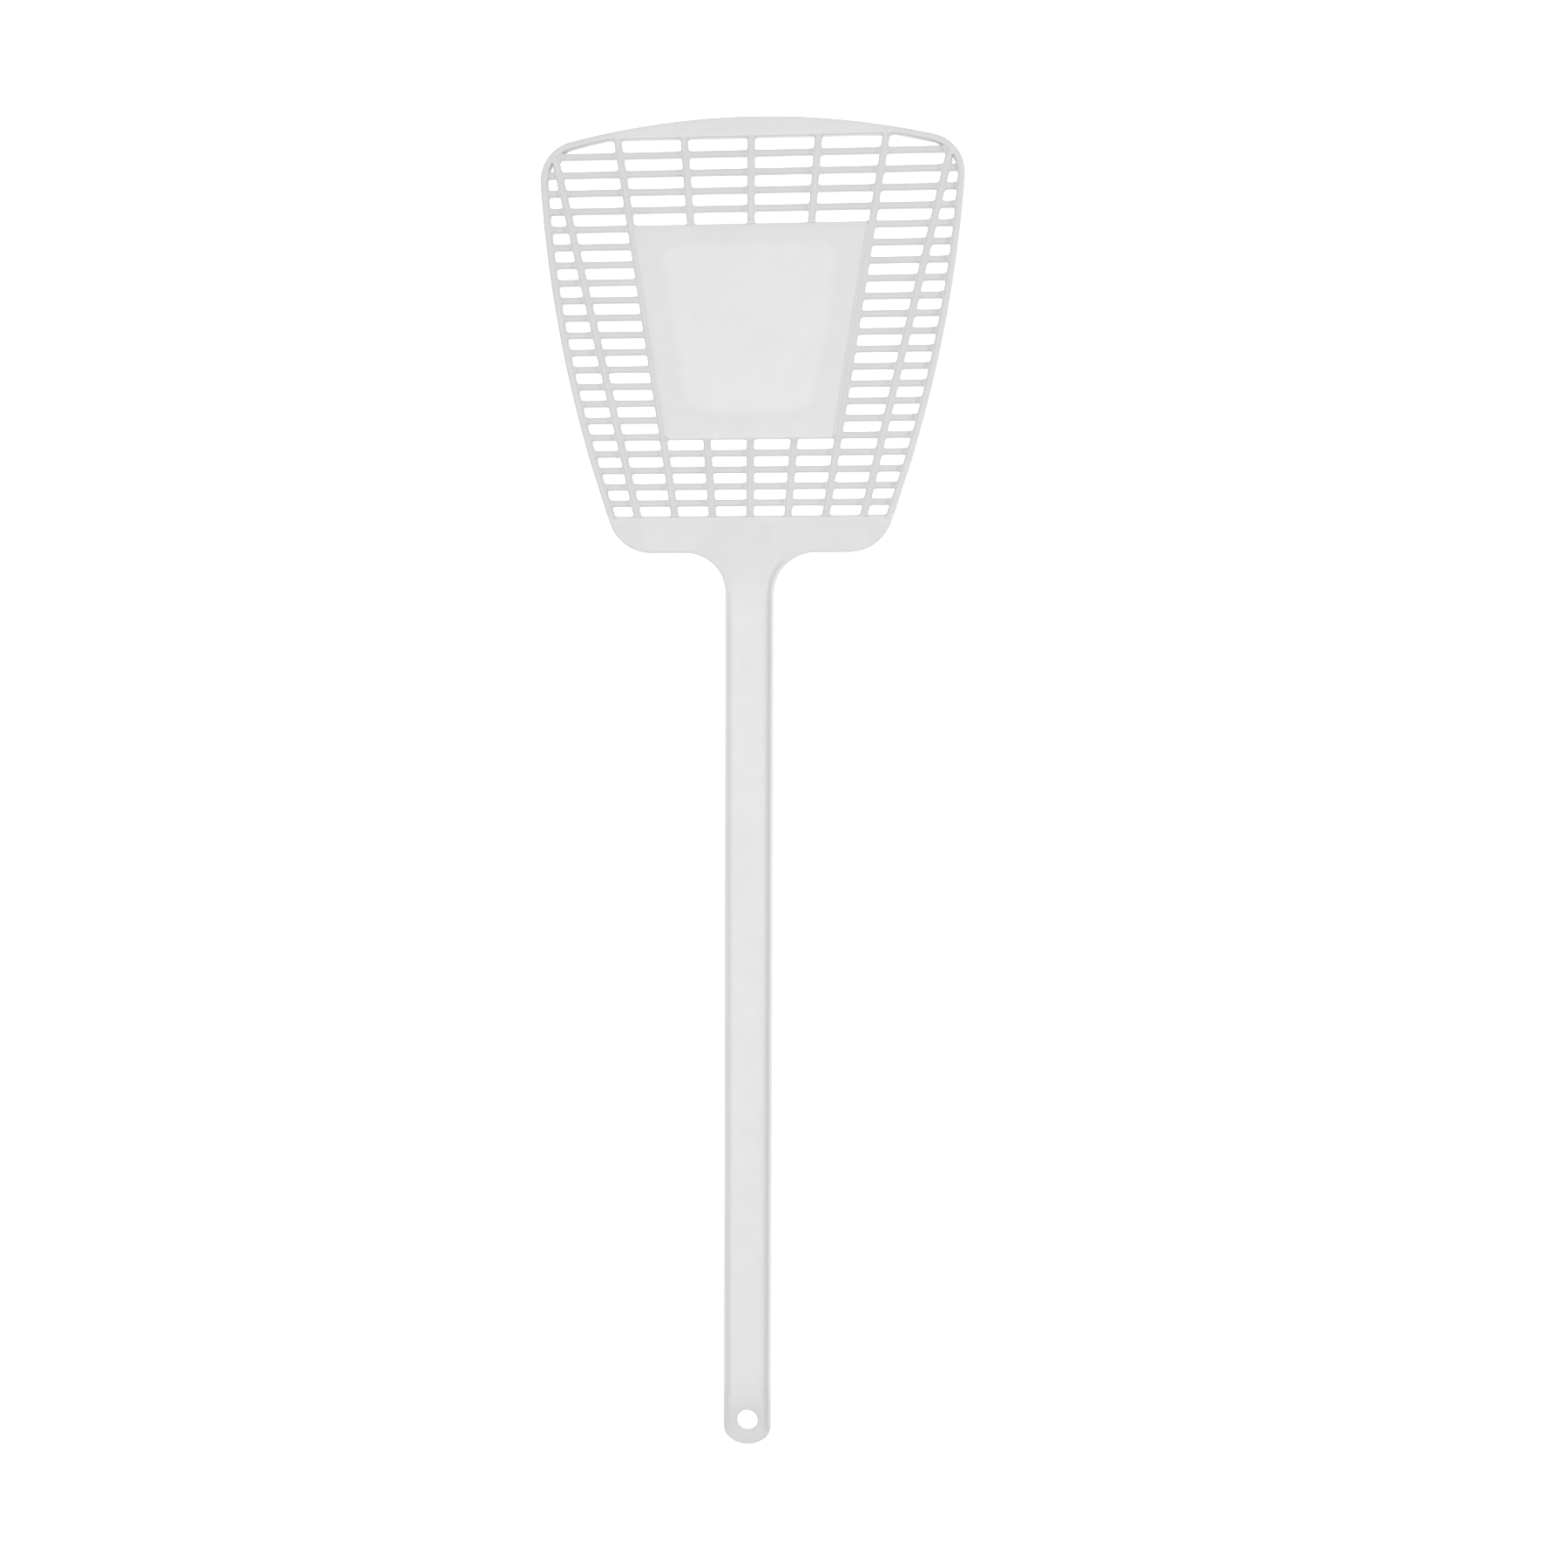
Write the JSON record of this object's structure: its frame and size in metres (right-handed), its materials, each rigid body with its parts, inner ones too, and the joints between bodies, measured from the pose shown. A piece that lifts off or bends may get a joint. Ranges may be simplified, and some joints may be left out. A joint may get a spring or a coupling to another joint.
{
  "type": "fly swatter",
  "caption": "One-piece moulded plastic fly swatter with a slotted flat head, a solid print panel, a beaded flat handle and a hanging hole.",
  "frame": {"origin": "centre of the hanging hole, on the flat back face", "axes": "+Y along the handle towards the tip of the head, +Z out of the front face, +X to the right seen from the front"},
  "size_m": [0.1444, 0.45, 0.004],
  "materials": {
    "white_plastic": "satin"
  },
  "bodies": {
    "root": {"tip_band": "white_plastic", "rim_left": "white_plastic", "rim_right": "white_plastic", "print_panel": "white_plastic", "shoulder_plate": "white_plastic", "neck": "white_plastic", "handle_web": "white_plastic", "edge_bead_left": "white_plastic", "edge_bead_right": "white_plastic", "hang_tab": "white_plastic", "long_rib_1": "white_plastic", "long_rib_2": "white_plastic", "long_rib_3": "white_plastic", "long_rib_4": "white_plastic", "long_rib_5": "white_plastic", "long_rib_6": "white_plastic", "long_rib_7": "white_plastic", "cross_rib_01": "white_plastic", "cross_rib_02": "white_plastic", "cross_rib_03": "white_plastic", "cross_rib_04": "white_plastic", "cross_rib_05": "white_plastic", "cross_rib_06": "white_plastic", "cross_rib_07": "white_plastic", "cross_rib_08": "white_plastic", "cross_rib_09": "white_plastic", "cross_rib_10": "white_plastic", "cross_rib_11": "white_plastic", "cross_rib_12": "white_plastic", "cross_rib_13": "white_plastic", "cross_rib_14": "white_plastic", "cross_rib_15": "white_plastic", "cross_rib_16": "white_plastic", "cross_rib_17": "white_plastic", "cross_rib_18": "white_plastic", "cross_rib_19": "white_plastic", "cross_rib_20": "white_plastic", "cross_rib_21": "white_plastic"}
  },
  "joints": []
}
